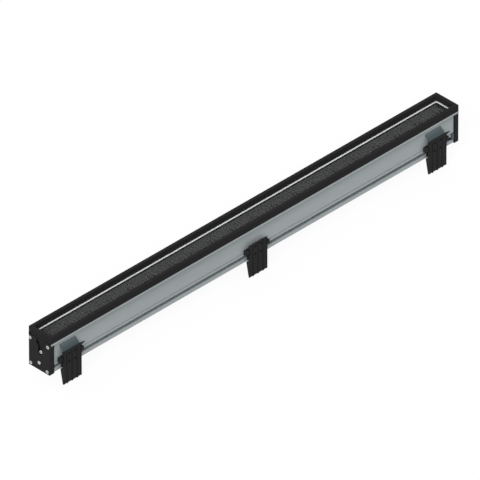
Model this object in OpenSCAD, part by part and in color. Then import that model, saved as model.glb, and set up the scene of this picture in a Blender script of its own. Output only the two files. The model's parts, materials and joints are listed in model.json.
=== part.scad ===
// Linear wall washer light, one metre long, with three lever clips on one side.
// X runs along the light, the clips are on the -Y side, and the light shines up (+Z).
// The origin is at mid-length and mid-width, on the underside of the housing.
// Lengths are in millimetres.

/* [Rim and glass] */
// Length of the black rim, which is the longest piece
light_len = 1000; // [760:10:1300]
// Width of the black rim
rim_w = 55.5; // [54:0.5:60]
// Height of the black rim
rim_h = 13.1; // [8:0.1:18]
// Thickness of the rim's walls
rim_wall = 6.7; // [6:0.1:8]
// Bevel along the rim's top edges
rim_bevel = 0.6; // [0.2:0.1:1.5]
// Width of the white seal that shows inside the rim
seal_show = 3.1; // [2:0.1:4]
// Thickness of the white seal
seal_t = 0.7; // [0.4:0.1:2]
// Thickness of the glass pane
pane_t = 3.2; // [2.6:0.1:5]
// Height of the bright strip between the housing and the rim
carrier_h = 3.9; // [3.2:0.1:5]

/* [Housing] */
// Width of the aluminium housing
housing_w = 49.7; // [48.5:0.1:52]
// Height of the aluminium housing
housing_h = 59.6; // [56:0.2:66]
// How far the housing ends short of the rim, at each end
housing_inset = 10; // [8:0.5:14]
// Thickness of the side walls
wall_t = 2; // [1.6:0.1:2.6]
// Thickness of the floor
floor_t = 2.2; // [1.6:0.1:3.2]
// Height of the space for boards and lenses, between the web and the flanges
optic_room = 12.6; // [12:0.1:15]
// Thickness of the inner web that the light boards lie on
web_t = 3; // [2:0.1:4]
// Height of the flanges at the top of the housing
flange_t = 6; // [5.4:0.1:7]
// Height of the middle of the side slots
slot_z = 11.5; // [11:0.1:12.5]
// Height of a side slot's mouth
slot_mouth = 7; // [6:0.1:8]
// Thickness of the lips beside a slot's mouth
slot_lip = 1.8; // [1.4:0.1:2.2]
// How far the slot's chamber reaches past its mouth, above and below
slot_undercut = 1.5; // [1.2:0.1:1.8]
// Depth of the slot's chamber behind the lips
slot_depth = 4.6; // [4.2:0.1:5.4]
// Height of the shallow line groove in the side walls
groove_z = 20.9; // [19:0.1:24]
// Width of the shallow line groove
groove_w = 2; // [1:0.1:3]
// Depth of the shallow line groove
groove_d = 0.5; // [0.3:0.1:0.9]

/* [Optics] */
// Number of lenses, a multiple of the four boards
lens_count = 20; // [12:4:24]
// Distance of the first and last lens from the rim's ends
lens_inset = 21.5; // [21:0.5:26]
// Radius of a lens
lens_r = 9.8; // [8:0.1:10.4]
// Height of a lens above its board
lens_h = 9.6; // [8:0.1:10.2]
// Number of fins of the glare plate for each lens
fins_per_lens = 6; // [4:1:9]
// Thickness of one fin
fin_t = 1.3; // [0.8:0.1:2]
// Height of the fins
fin_h = 4.6; // [3:0.1:5.2]

/* [End caps] */
// Width of the end caps
cap_w = 52.5; // [51:0.1:54]
// How far the end caps stand out beyond the rim's ends
cap_proud = 2.2; // [1.8:0.1:4]
// How far the end caps reach below the housing
cap_drop = 1.8; // [0.6:0.1:3]
// How far the cap's outer plate rises over the end of the bright strip
cap_rise = 3.6; // [2:0.1:3.7]
// Rounding of the cap's upright outer edges
cap_edge_r = 2.2; // [1:0.1:2.8]
// Distance between the two upper cap screws
top_screw_span = 43; // [42.4:0.1:43.6]
// Distance between the two lower cap screws
low_screw_span = 40.2; // [39.4:0.1:41]
// Radius of the cap screws' heads
cap_head_r = 3.3; // [2.8:0.1:3.5]
// Depth of the keyhole recess in the left cap
recess_d = 3; // [2:0.1:3.2]
// Half width of the recess at its top
recess_top_half = 10; // [8:0.1:10.4]
// Half width of the recess at its round foot
recess_foot_half = 5.2; // [4.6:0.1:6]

/* [Clips] */
// Distance of the left clip's middle from the rim's left end
clip_left_inset = 46.8; // [42:0.2:120]
// Distance of the right clip's middle from the rim's right end
clip_right_inset = 56.9; // [50:0.1:120]
// Width of a clip's lever
lever_w = 43.5; // [38:0.5:50]
// Thickness of the lever's plate
lever_t = 2.2; // [1.8:0.1:2.6]
// Distance of the lever's front plane from the housing's wall
lever_front = 7.5; // [7.2:0.1:8.5]
// Height of the lever's top edge
lever_top = 36.8; // [34.5:0.1:39]
// How far the lever's tail reaches below the housing
tail_drop = 31.1; // [24:0.1:38]
// Thickness of the tail at its tip
tail_tip_t = 2.1; // [1.6:0.1:3]
// Distance between the upright ribs on the lever
rib_pitch = 12.3; // [9:0.1:14]
// Width of one rib
rib_w = 2.2; // [1.2:0.1:3]
// Height of one rib over the lever's front
rib_h = 0.8; // [0.4:0.1:1.5]
// Distance between the lever's holes along the light
hole_span_x = 14; // [11:0.1:16]
// Distance between the lever's holes upwards
hole_span_z = 16.4; // [13:0.1:18]
// Width over the clip's two ears
ear_span = 56.5; // [54:0.5:64]
// Height of an ear
ear_h = 9.4; // [8:0.1:10]
// Height of the lever's hinge axis
pivot_z = 20; // [19.5:0.1:21.5]
// Radius of the hinge pin
pin_r = 1.2; // [1:0.05:1.4]
// Width of the leaf that leans on the wall at the end clips
leaf_w = 41; // [34:0.5:42]
// Thickness of the leaf
leaf_t = 0.6; // [0.4:0.05:0.8]
// How far below the housing's top the leaf's free edge rests on the wall
leaf_below = 8; // [5:0.1:11]
// How far the tapered end of the leaf's bar stands out beyond the lever
spike_len = 10; // [4:0.5:14]

/* [Hidden] */
$fn = 48;

// Clearances and the overrun of cuts.
run_gap = 0.3;
slide_gap = 0.1;
pin_gap = 0.05;
screw_gap = 0.1;
over = 1;

// Colours, as the photograph shows them.
black_paint = [0.17, 0.17, 0.17];
black_plastic = [0.15, 0.15, 0.15];
dark_inside = [0.24, 0.24, 0.24];
bare_aluminium = [0.62, 0.65, 0.65];
white_rubber = [0.9, 0.9, 0.9];
steel = [0.75, 0.76, 0.76];
leaf_steel = [0.42, 0.46, 0.47];

// Levels from the underside up.
rim_z = housing_h + carrier_h;
rim_end = light_len / 2;
flange_z = housing_h - flange_t;
web_top = flange_z - optic_room;
web_z = web_top - web_t;

// Glass, seals and the ledge that carries them.
ledge_t = 0.8;
bed_t = 0.3;
seal_grip = 1.8;
pane_grip = 0.95;
seal_end_grip = 1;
window_half = rim_w / 2 - rim_wall;
window_end = rim_end - rim_wall;
pane_half = window_half + pane_grip;
pane_end = window_end - slide_gap;
pane_z = housing_h + ledge_t + bed_t;
pane_top = pane_z + pane_t;
seal_half = window_half + seal_grip;
seal_end = window_end + seal_end_grip;
clear_half = window_half - seal_show;
clear_end = window_end - seal_show;
seal_top = pane_top + seal_t;
corner_r = 3;
rim_corner_r = 1;

// Housing section.
housing_half = housing_w / 2;
housing_end = rim_end - housing_inset;
chamber_half = housing_half - wall_t;
flange_lap = 0.25;
mouth_half = clear_half - flange_lap;
slot_wall = 1.6;
chamber_h = slot_mouth + 2 * slot_undercut;
slot_in = housing_half - slot_lip - slot_depth;
lower_half = slot_in - slot_wall;
slot_block_top = slot_z + chamber_h / 2 + slot_wall;
housing_edge_r = 0.8;

// Screw ports of the end caps.
port_r = 1.7;
port_screw_r = port_r - screw_gap;
top_port_drop = 3.3;
top_screw_z = housing_h - top_port_drop;
port_floor = 2.1;
low_screw_z = port_floor + port_r;

// Light boards and lenses.
pad_t = 0.5;
board_t = 1.6;
board_w = 36;
board_gap = 1;
board_count = 4;
board_z = web_top + pad_t;
board_top = board_z + board_t;
board_end_gap = 2;
lens_pitch = (light_len - 2 * lens_inset) / (lens_count - 1);
fin_pitch = lens_pitch / fins_per_lens;
bay = lens_pitch * lens_count / board_count;
board_end = housing_end - board_end_gap;
board_edges = [-board_end, -bay, 0, bay, board_end];
lens_foot_r = 4.6;
lens_well_r = 3;
lens_well_h = 3.6;
lens_brim = 1.6;
lens_crown = 0.9;
led_size = 3.5;
led_base_t = 0.7;
led_dome_r = 1.4;
board_screw_y = 14.5;
board_screw_shift = 6.5;
small_screw_r = 1.4;
small_head_r = 2.6;
small_head_h = 1.8;

// Glare plate: a slide-in plate under the flanges, with fins across and round cells.
plate_t = 1.3;
plate_top = flange_z - slide_gap;
plate_half = chamber_half - run_gap;
plate_end = housing_end - slide_gap;
fin_half = mouth_half - slide_gap;
cell_r = lens_r + run_gap;
collar_t = 1;
post_r = 1.6;
post_y = plate_half - post_r;

// Driver, terminals and inner wires.
driver_len = 300;
driver_w = 30;
driver_h = 21;
driver_foot = 12;
driver_foot_t = 1.6;
driver_gap = 0.2;
driver_edge_r = 1.5;
driver_screw_y = 10;
block_len = 34;
block_w = 20;
block_h = 14;
block_inset = 96;
block_ways = 3;
wire_r = 0.9;
wire_pitch = 6;
wire_drop = 7;
led_wire_run = 46;
led_wire_x = driver_len / 2 + led_wire_run;
web_hole_r = 4.5;

// Height of the cable gland's axis.
gland_drop = 11;
gland_z = web_z - gland_drop;

// End caps.
gasket_t = 1;
gasket_land = 1.6;
cap_in = housing_end + gasket_t;
cap_out = rim_end + cap_proud;
cap_lip_gap = 0.2;
cap_block_top = housing_h - run_gap;
cap_bottom = -cap_drop;
cap_top = housing_h + cap_rise;
cap_corner_r = 1;
cap_hole_r = 2.2;
cap_head_h = 2.2;
cap_head_sunk = 1.6;
cap_socket_r = 1.5;
port_grip = 12;
recess_y = -3.35;
recess_top_d = 1.2;
recess_straight = 5.5;
recess_slant = 6.1;
recess_fall = 10.9;
recess_slant_top = cap_block_top - recess_straight;
recess_slant_foot = recess_slant_top - recess_slant;
recess_foot_z = recess_slant_foot - recess_fall;
recess_cover = 0.6;
vent_y = -9.2;
vent_drop = 4.1;
vent_z = cap_block_top - vent_drop;
vent_r = 0.8;
vent_d = 1.2;
earth_y = -0.85;
earth_drop = 13;
earth_z = gland_z - earth_drop;
earth_depth = 7;
rim_screw_y = 13.6;
rim_screw_inset = 3;
rim_screw_r = 1.4;
rim_screw_head_r = 2.7;
rim_screw_head_h = 2.4;
rim_screw_drop = 31.3;
rim_screw_head_z = cap_block_top - rim_screw_drop;
rim_screw_bite = 7;

// Cable gland in the right cap.
gland_r = 8;
gland_bore_r = 4.6;
gland_hex_r = 10.2;
gland_hex_t = 4;
gland_neck_r = 7;
gland_neck_len = 5;
gland_nut_r = 9;
gland_nut_len = 8;
gland_mouth_r = 4;
gland_lip = 1.6;
cable_r = 3.5;

// Clips, measured out from the housing's wall at the -Y side.
wall_y = -housing_half;
shoe_t = 1.7;
shoe_gap = slide_gap;
shoe_back_y = wall_y - shoe_gap;
shoe_front_y = shoe_back_y - shoe_t;
shoe_inset = 1.25;
shoe_half = lever_w / 2 - shoe_inset;
shoe_drop = 16.5;
shoe_rise = 6.5;
shoe_foot_z = pivot_z - shoe_drop;
shoe_top_z = pivot_z + shoe_rise;
ear_in = lever_w / 2 + run_gap;
// Middle of the ears above the hinge axis.
ear_lift = 1.3;
ear_low = pivot_z - ear_h / 2 + ear_lift;
ear_chamfer = 2.5;
ear_front_y = wall_y - lever_front;
ear_skin = 0.8;
clip_nut_half = shoe_half - run_gap;
neck_half = clip_nut_half;
clip_screw_rise = 0.7;
clip_screw_z = slot_z + clip_screw_rise;
clip_screw_r = 1.3;
clip_head_r = 2.7;
clip_head_h = 1.5;
clip_nut_t = 3.4;
lever_front_y = wall_y - lever_front;
lever_back_y = lever_front_y + lever_t;
barrel_r = pin_r + 1;
pivot_y = shoe_front_y - run_gap - barrel_r;
barrel_len = 9;
heel_drop = 1.3;
heel_rise = 7;
heel_lap = 0.5;
heel_z = -heel_drop;
knee_z = heel_z + heel_rise;
heel_y = wall_y + heel_lap;
tail_z = -tail_drop;
tooth_len = 0.8;
hole_r = 2.2;
upper_hole_z = clip_screw_z + hole_span_z;

// Leaf and its bar, on the end clips only.
bead_r = 2;
bar_r = 1.2;
bar_set = 0.9;
bar_drop = 1.8;
bar_y = lever_front_y + bar_set;
bar_z = lever_top - bar_drop;
leaf_top = housing_h - leaf_below;
leaf_edge_y = wall_y - run_gap;
leaf_shift = -3.3;
leaf_grip = 0.7;
leaf_lean = atan((leaf_edge_y - bar_y) / (leaf_top - bar_z));
leaf_len = norm([leaf_edge_y - bar_y, leaf_top - bar_z]);
leaf_sweep = 24;
leaf_play = 24;
spike_tip_r = 0.25;

// Slot stop at the right end of the -Y slot.
stop_len = 6;
stop_flange_t = 1.4;
stop_rise = 5.4;

clip_left_x = -rim_end + clip_left_inset;
clip_right_x = rim_end - clip_right_inset;

// A flat outline in Y and Z, drawn out along X and centred.
module along_x(len) {
    rotate([90, 0, 90]) linear_extrude(height = len, center = true) children();
}

// A flat outline in X and Z, drawn out along Y and centred.
module along_y(len) {
    rotate([90, 0, 0]) linear_extrude(height = len, center = true) children();
}

// A rectangle with round corners, centred.
module rounded(w, h, r) {
    square([w - 2 * r, h], center = true);
    square([w, h - 2 * r], center = true);
    for (sx = [-1, 1], sy = [-1, 1])
        translate([sx * (w / 2 - r), sy * (h / 2 - r)]) circle(r);
}

// A flat ring between two rounded rectangles, given by their half sizes.
module ring_plate(out_x, out_y, in_x, in_y, out_r, in_r, t) {
    linear_extrude(height = t) difference() {
        rounded(2 * out_x, 2 * out_y, out_r);
        rounded(2 * in_x, 2 * in_y, in_r);
    }
}

// A screw with its head upwards: the head stands on z = 0 and the shank hangs below.
module screw(head_r, head_h, shank_r, len, socket_r) {
    difference() {
        union() {
            cylinder(r = head_r, h = head_h);
            translate([0, 0, -len]) cylinder(r = shank_r, h = len + head_h / 2);
        }
        translate([0, 0, head_h / 2]) cylinder(r = socket_r, h = head_h, $fn = 6);
    }
}

// The same screw with its head towards +X.
module screw_x(head_r, head_h, shank_r, len, socket_r) {
    rotate([0, 90, 0]) screw(head_r, head_h, shank_r, len, socket_r);
}

// Housing

module slot_cut(side) {
    mouth_x = side > 0 ? housing_half - slot_lip - over : -housing_half - over;
    chamber_x = side > 0 ? slot_in : -slot_in - slot_depth;
    translate([mouth_x, slot_z - slot_mouth / 2]) square([slot_lip + 2 * over, slot_mouth]);
    translate([chamber_x, slot_z - chamber_h / 2]) square([slot_depth, chamber_h]);
}

module housing_section() {
    difference() {
        union() {
            translate([0, housing_h / 2]) rounded(housing_w, housing_h, housing_edge_r);
            translate([-housing_half, housing_h / 2]) square([housing_w, housing_h / 2]);
        }
        translate([-chamber_half, web_top]) square([2 * chamber_half, flange_z - web_top]);
        translate([-mouth_half, flange_z - over]) square([2 * mouth_half, flange_t + 2 * over]);
        translate([-chamber_half, slot_block_top])
            square([2 * chamber_half, web_z - slot_block_top]);
        translate([-lower_half, floor_t])
            square([2 * lower_half, slot_block_top - floor_t + over]);
        for (side = [-1, 1]) {
            slot_cut(side);
            translate([side * housing_half, groove_z])
                square([2 * groove_d, groove_w], center = true);
            translate([side * top_screw_span / 2, top_screw_z]) circle(port_r);
            translate([side * low_screw_span / 2, low_screw_z]) circle(port_r);
        }
    }
}

module web_hole(x, y, r) {
    translate([x, y, web_z - over]) cylinder(r = r, h = web_t + 2 * over);
}

module housing() {
    color(bare_aluminium) difference() {
        along_x(2 * housing_end) housing_section();
        for (i = [0 : board_count - 1], side = [-1, 1])
            web_hole(board_screw_x(i, side), side * board_screw_y, small_screw_r + screw_gap);
        for (end = [-1, 1], side = [-1, 1])
            web_hole(end * (driver_len + driver_foot) / 2, side * driver_screw_y,
                small_screw_r + screw_gap);
        for (side = [-1, 1])
            web_hole(block_x() + side * block_len / 4, 0, small_screw_r + screw_gap);
        web_hole(-led_wire_x, 0, web_hole_r);
    }
}

// The screws of a board stand between two lenses, near each end of the board.
function board_screw_x(i, side) =
    (i - board_count / 2 + 0.5) * bay + side * (bay / 2 - lens_pitch) + board_screw_shift;
function block_x() = housing_end - block_inset;
function lens_x(i) = (i - (lens_count - 1) / 2) * lens_pitch;

// Rim, carrier, seals and glass

module cover_carrier() {
    color(bare_aluminium) translate([0, 0, housing_h]) difference() {
        linear_extrude(height = carrier_h) square([light_len, rim_w], center = true);
        translate([0, 0, -over]) linear_extrude(height = carrier_h + 2 * over)
            rounded(2 * clear_end, 2 * clear_half, corner_r);
        translate([0, 0, ledge_t]) linear_extrude(height = carrier_h + over)
            rounded(2 * (pane_end + slide_gap), 2 * (pane_half + slide_gap), corner_r);
        rim_screw_holes(rim_screw_r + screw_gap, -over, carrier_h + over);
    }
}

module rim_screw_holes(r, low, high) {
    for (sx = [-1, 1], sy = [-1, 1])
        translate([sx * (rim_end - rim_screw_inset), sy * rim_screw_y, low])
            cylinder(r = r, h = high - low);
}

module beveled(w, h, bevel) {
    polygon([
        [-w / 2, 0], [w / 2, 0], [w / 2, h - bevel], [w / 2 - bevel, h],
        [-w / 2 + bevel, h], [-w / 2, h - bevel]
    ]);
}

module rim_frame() {
    color(black_paint) translate([0, 0, rim_z]) difference() {
        intersection() {
            along_x(light_len) beveled(rim_w, rim_h, rim_bevel);
            along_y(rim_w) beveled(light_len, rim_h, rim_bevel);
            linear_extrude(height = rim_h) rounded(light_len, rim_w, rim_corner_r);
        }
        translate([0, 0, -over]) linear_extrude(height = rim_h + 2 * over)
            rounded(2 * window_end, 2 * window_half, corner_r);
        translate([0, 0, -over]) linear_extrude(height = over + seal_top - rim_z)
            rounded(2 * (seal_end + slide_gap), 2 * (seal_half + slide_gap), corner_r);
        rim_screw_holes(rim_screw_r + screw_gap, -over, rim_screw_bite);
    }
}

module window_seal() {
    color(white_rubber) translate([0, 0, pane_top])
        ring_plate(seal_end, seal_half, clear_end, clear_half, corner_r, corner_r, seal_t);
}

module pane_gasket() {
    color(black_paint) translate([0, 0, housing_h + ledge_t])
        ring_plate(pane_end, pane_half, clear_end, clear_half, corner_r, corner_r, bed_t);
}

module glass_pane() {
    color([0.55, 0.6, 0.62, 0.35]) translate([0, 0, pane_z]) linear_extrude(height = pane_t)
        rounded(2 * pane_end, 2 * pane_half, corner_r);
}

// Optics

module fin_outline() {
    fins = floor(2 * plate_end / fin_pitch);
    for (i = [0 : fins])
        translate([(i - fins / 2) * fin_pitch, 0]) square([fin_t, 2 * fin_half], center = true);
    for (side = [-1, 1])
        translate([0, side * (fin_half - fin_t / 2)]) square([2 * plate_end, fin_t], center = true);
}

module glare_plate() {
    color(dark_inside) difference() {
        union() {
            translate([0, 0, plate_top - plate_t]) linear_extrude(height = plate_t)
                square([2 * plate_end, 2 * plate_half], center = true);
            translate([0, 0, plate_top - plate_t / 2])
                linear_extrude(height = fin_h + plate_t / 2) intersection() {
                    union() {
                        fin_outline();
                        for (i = [0 : lens_count - 1])
                            translate([lens_x(i), 0]) circle(cell_r + collar_t);
                    }
                    square([2 * plate_end, 2 * fin_half], center = true);
                }
            for (i = [0 : board_count - 1], side = [-1, 1])
                translate([(i - board_count / 2 + 0.5) * bay, side * post_y, web_top])
                    cylinder(r = post_r, h = plate_top - plate_t / 2 - web_top);
        }
        for (i = [0 : lens_count - 1])
            translate([lens_x(i), 0, plate_top - plate_t - over])
                cylinder(r = cell_r, h = plate_t + fin_h + 2 * over);
    }
}

// One lens: a flared body with a foot ring, a well over its light source and a crowned top.
module lens() {
    crown_steps = 5;
    crown = [
        for (i = [0 : crown_steps])
            [lens_r * cos(90 * i / crown_steps), lens_h + lens_crown * sin(90 * i / crown_steps)]
    ];
    rotate_extrude() polygon(concat(
        [[0, lens_well_h], [lens_well_r, lens_well_h], [lens_well_r, 0], [lens_foot_r, 0],
        [lens_r, lens_h - lens_brim]], crown));
}

module lenses() {
    color([0.35, 0.36, 0.38]) for (i = [0 : lens_count - 1])
        translate([lens_x(i), 0, board_top]) lens();
}

module leds() {
    color([0.95, 0.85, 0.4]) for (i = [0 : lens_count - 1])
        translate([lens_x(i), 0, board_top]) {
            translate([0, 0, led_base_t / 2])
                cube([led_size, led_size, led_base_t], center = true);
            translate([0, 0, led_base_t]) intersection() {
                sphere(led_dome_r);
                cylinder(r = led_size, h = led_size);
            }
        }
}

module led_board(i) {
    low = board_edges[i] + (i == 0 ? 0 : board_gap / 2);
    high = board_edges[i + 1] - (i == board_count - 1 ? 0 : board_gap / 2);
    color("white") translate([0, 0, board_z]) difference() {
        translate([low, -board_w / 2, 0]) cube([high - low, board_w, board_t]);
        for (side = [-1, 1])
            translate([board_screw_x(i, side), side * board_screw_y, -over])
                cylinder(r = small_screw_r + screw_gap, h = board_t + 2 * over);
        if (i == 1)
            translate([-led_wire_x, 0, -over]) cylinder(r = web_hole_r, h = board_t + 2 * over);
    }
}

module thermal_pads() {
    color([0.55, 0.6, 0.68]) for (i = [0 : board_count - 1])
        difference() {
            translate([board_edges[i] + board_gap, -board_w / 2, web_top])
                cube([board_edges[i + 1] - board_edges[i] - 2 * board_gap, board_w, pad_t]);
            for (side = [-1, 1])
                translate([board_screw_x(i, side), side * board_screw_y, web_top - over])
                    cylinder(r = small_screw_r + screw_gap, h = pad_t + 2 * over);
            translate([-led_wire_x, 0, web_top - over])
                cylinder(r = web_hole_r, h = pad_t + 2 * over);
        }
}

module board_screws() {
    color(steel) for (i = [0 : board_count - 1], side = [-1, 1])
        translate([board_screw_x(i, side), side * board_screw_y, board_top])
            screw(small_head_r, small_head_h, small_screw_r, board_t + pad_t + web_t,
                small_screw_r);
}

// Small plug bridges that join each light board to the next.
module board_links() {
    link_len = 12;
    link_w = 8;
    link_h = 3.5;
    link_y = 13;
    color("ivory") for (i = [1 : board_count - 1])
        translate([board_edges[i] - link_len / 2, link_y - link_w / 2, board_top])
            cube([link_len, link_w, link_h]);
}

// Driver, terminals and inner wires, hung from the underside of the web

module driver() {
    foot_z = web_z - driver_foot_t;
    color([0.82, 0.82, 0.8]) difference() {
        union() {
            translate([0, 0, web_z - driver_gap - driver_h / 2])
                along_x(driver_len) rounded(driver_w, driver_h, driver_edge_r);
            translate([-driver_len / 2 - driver_foot, -driver_w / 2, foot_z])
                cube([driver_len + 2 * driver_foot, driver_w, driver_foot_t]);
        }
        for (end = [-1, 1], side = [-1, 1])
            translate([end * (driver_len + driver_foot) / 2, side * driver_screw_y, foot_z - over])
                cylinder(r = small_screw_r + screw_gap, h = driver_foot_t + 2 * over);
    }
}

module driver_screws() {
    color(steel) for (end = [-1, 1], side = [-1, 1])
        translate([end * (driver_len + driver_foot) / 2, side * driver_screw_y,
            web_z - driver_foot_t])
            rotate([180, 0, 0])
                screw(small_head_r, small_head_h, small_screw_r, driver_foot_t + web_t,
                    small_screw_r);
}

module terminal_block() {
    color([0.9, 0.9, 0.86]) difference() {
        translate([block_x() - block_len / 2, -block_w / 2, web_z - block_h])
            cube([block_len, block_w, block_h]);
        for (i = [0 : block_ways - 1])
            translate([block_x(), (i - (block_ways - 1) / 2) * wire_pitch, wire_z()])
                rotate([0, 90, 0])
                    cylinder(r = wire_r + screw_gap, h = block_len + over, center = true);
        for (side = [-1, 1])
            translate([block_x() + side * block_len / 4, 0, web_z - block_h - over]) {
                cylinder(r = small_screw_r + screw_gap, h = block_h + 2 * over);
                cylinder(r = small_head_r + screw_gap, h = over + small_head_h);
            }
    }
}

module terminal_screws() {
    color(steel) for (side = [-1, 1])
        translate([block_x() + side * block_len / 4, 0, web_z - block_h + small_head_h])
            rotate([180, 0, 0])
                screw(small_head_r, small_head_h, small_screw_r,
                    block_h - small_head_h + web_t, small_screw_r);
}

function wire_z() = web_z - wire_drop;

module supply_wires() {
    start = driver_len / 2;
    finish = block_x() - block_len / 2 + block_len / 8;
    color("dimgray") for (i = [0 : block_ways - 1])
        translate([start, (i - (block_ways - 1) / 2) * wire_pitch, wire_z()])
            rotate([0, 90, 0]) cylinder(r = wire_r, h = finish - start);
}

// Two wires leave the driver, turn up and pass through the web to the light boards.
module led_wires() {
    rise = board_top - wire_z();
    run = led_wire_x - driver_len / 2;
    color("firebrick") for (side = [-1, 1])
        translate([-led_wire_x, side * wire_pitch / 3, wire_z()]) {
            sphere(wire_r);
            rotate([0, 90, 0]) cylinder(r = wire_r, h = run);
            cylinder(r = wire_r, h = rise);
        }
}

// End caps, drawn for the +X end

module cap_outline() {
    translate([0, (cap_top + cap_bottom) / 2])
        rounded(cap_w, cap_top - cap_bottom, cap_corner_r);
}

module cap_body() {
    cap_t = cap_out - cap_in;
    difference() {
        intersection() {
            translate([cap_in + cap_t / 2, 0, 0]) along_x(cap_t) cap_outline();
            translate([cap_in, 0, cap_bottom]) linear_extrude(height = cap_top - cap_bottom)
                rounded(2 * cap_t, cap_w, cap_edge_r);
        }
        translate([cap_in - over, -cap_w, cap_block_top])
            cube([rim_end + cap_lip_gap - cap_in + over, 2 * cap_w, cap_top]);
        for (side = [-1, 1]) {
            cap_screw_hole(side * top_screw_span / 2, top_screw_z);
            cap_screw_hole(side * low_screw_span / 2, low_screw_z);
            translate([rim_end - rim_screw_inset, side * rim_screw_y, cap_bottom - over])
                cylinder(r = rim_screw_r + screw_gap, h = cap_top - cap_bottom + over);
            translate([rim_end - rim_screw_inset, side * rim_screw_y, cap_bottom - over])
                cylinder(r = rim_screw_head_r + screw_gap,
                    h = rim_screw_head_z + rim_screw_head_h - cap_bottom + over);
        }
        translate([cap_out - earth_depth, earth_y, earth_z]) rotate([0, 90, 0])
            cylinder(r = port_r, h = earth_depth + over);
    }
}

module cap_screw_hole(y, z) {
    translate([cap_in - over, y, z]) rotate([0, 90, 0])
        cylinder(r = cap_hole_r, h = cap_out - cap_in + 2 * over);
    translate([cap_out - cap_head_sunk, y, z]) rotate([0, 90, 0])
        cylinder(r = cap_head_r + screw_gap, h = cap_head_sunk + over);
}

module recess_outline(top) {
    polygon([
        [recess_y - recess_top_half, top], [recess_y - recess_top_half, recess_slant_top],
        [recess_y - recess_foot_half, recess_slant_foot],
        [recess_y - recess_foot_half, recess_foot_z],
        [recess_y + recess_foot_half, recess_foot_z],
        [recess_y + recess_foot_half, recess_slant_foot],
        [recess_y + recess_top_half, recess_slant_top], [recess_y + recess_top_half, top]
    ]);
    translate([recess_y, recess_foot_z]) circle(recess_foot_half);
}

module end_cap_left() {
    color(black_paint) mirror([1, 0, 0]) difference() {
        cap_body();
        translate([cap_out, 0, 0]) along_x(2 * recess_d)
            recess_outline(cap_block_top - recess_cover);
        translate([cap_out, 0, 0]) along_x(2 * recess_top_d) recess_outline(cap_top + over);
        translate([cap_out - recess_d - earth_depth, recess_y, recess_foot_z])
            rotate([0, 90, 0]) cylinder(r = port_r, h = earth_depth + over);
        translate([cap_out - recess_d - vent_d, vent_y, vent_z])
            rotate([0, 90, 0]) cylinder(r = vent_r, h = vent_d + over);
    }
}

module end_cap_right() {
    color(black_paint) difference() {
        cap_body();
        translate([cap_in - over, 0, gland_z]) rotate([0, 90, 0])
            cylinder(r = gland_r + pin_gap, h = cap_out - cap_in + 2 * over);
    }
}

module cap_gasket() {
    color(black_plastic) translate([housing_end + gasket_t / 2, 0, 0]) along_x(gasket_t)
        difference() {
            translate([0, (housing_h - run_gap) / 2])
                rounded(housing_w, housing_h - run_gap, housing_edge_r);
            translate([-lower_half + gasket_land, floor_t + gasket_land])
                square([2 * (lower_half - gasket_land), flange_z - floor_t - 2 * gasket_land]);
            for (side = [-1, 1]) {
                translate([side * top_screw_span / 2, top_screw_z]) circle(port_r);
                translate([side * low_screw_span / 2, low_screw_z]) circle(port_r);
            }
        }
}

module cap_gasket_left() {
    mirror([1, 0, 0]) cap_gasket();
}

module cap_gasket_right() {
    cap_gasket();
}

module cap_screws() {
    len = cap_out - cap_head_sunk - housing_end + port_grip;
    places = [
        [top_screw_span / 2, top_screw_z], [-top_screw_span / 2, top_screw_z],
        [low_screw_span / 2, low_screw_z], [-low_screw_span / 2, low_screw_z]
    ];
    color(steel) for (place = places)
        translate([cap_out - cap_head_sunk, place[0], place[1]])
            screw_x(cap_head_r, cap_head_h, port_screw_r, len, cap_socket_r);
}

module cap_screws_left() {
    mirror([1, 0, 0]) cap_screws();
}

module cap_screws_right() {
    cap_screws();
}

module recess_screw() {
    color(steel) mirror([1, 0, 0]) translate([cap_out - recess_d, recess_y, recess_foot_z])
        screw_x(cap_head_r, cap_head_h, port_screw_r, earth_depth - over, cap_socket_r);
}

module earth_screws() {
    color(steel) for (end = [0, 1])
        mirror([end, 0, 0]) translate([cap_out, earth_y, earth_z])
            screw_x(cap_head_r, cap_head_h / 2, port_screw_r, earth_depth - over, cap_socket_r);
}

// Long screws that rise through each cap's block and the carrier into the rim.
module rim_screws() {
    head_top = rim_screw_head_z + rim_screw_head_h;
    len = rim_z + rim_screw_bite - over - head_top;
    color(steel) for (sx = [-1, 1], sy = [-1, 1])
        translate([sx * (rim_end - rim_screw_inset), sy * rim_screw_y, head_top])
            rotate([180, 0, 0])
                screw(rim_screw_head_r, rim_screw_head_h, rim_screw_r, len, rim_screw_r);
}

// Cable gland: threaded body, dome nut and rubber insert

module gland_body() {
    color(black_plastic) translate([0, 0, gland_z]) rotate([0, 90, 0]) difference() {
        union() {
            translate([0, 0, cap_in + slide_gap])
                cylinder(r = gland_r, h = cap_out - cap_in - slide_gap);
            translate([0, 0, cap_out]) rotate(30)
                cylinder(r = gland_hex_r, h = gland_hex_t, $fn = 6);
            translate([0, 0, cap_out + gland_hex_t])
                cylinder(r = gland_neck_r, h = gland_neck_len);
        }
        translate([0, 0, cap_in - over])
            cylinder(r = gland_bore_r, h = cap_out - cap_in + gland_hex_t + gland_neck_len
                + 2 * over);
    }
}

module gland_nut() {
    start = cap_out + gland_hex_t + slide_gap;
    inner = gland_neck_len + slide_gap;
    color(black_plastic) translate([start, 0, gland_z]) rotate([0, 90, 0])
        rotate_extrude() polygon([
            [gland_neck_r + pin_gap, 0], [gland_nut_r, 0], [gland_nut_r, inner],
            [gland_mouth_r + gland_lip, gland_nut_len], [gland_mouth_r, gland_nut_len],
            [gland_mouth_r, inner], [gland_neck_r + pin_gap, inner]
        ]);
}

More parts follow.
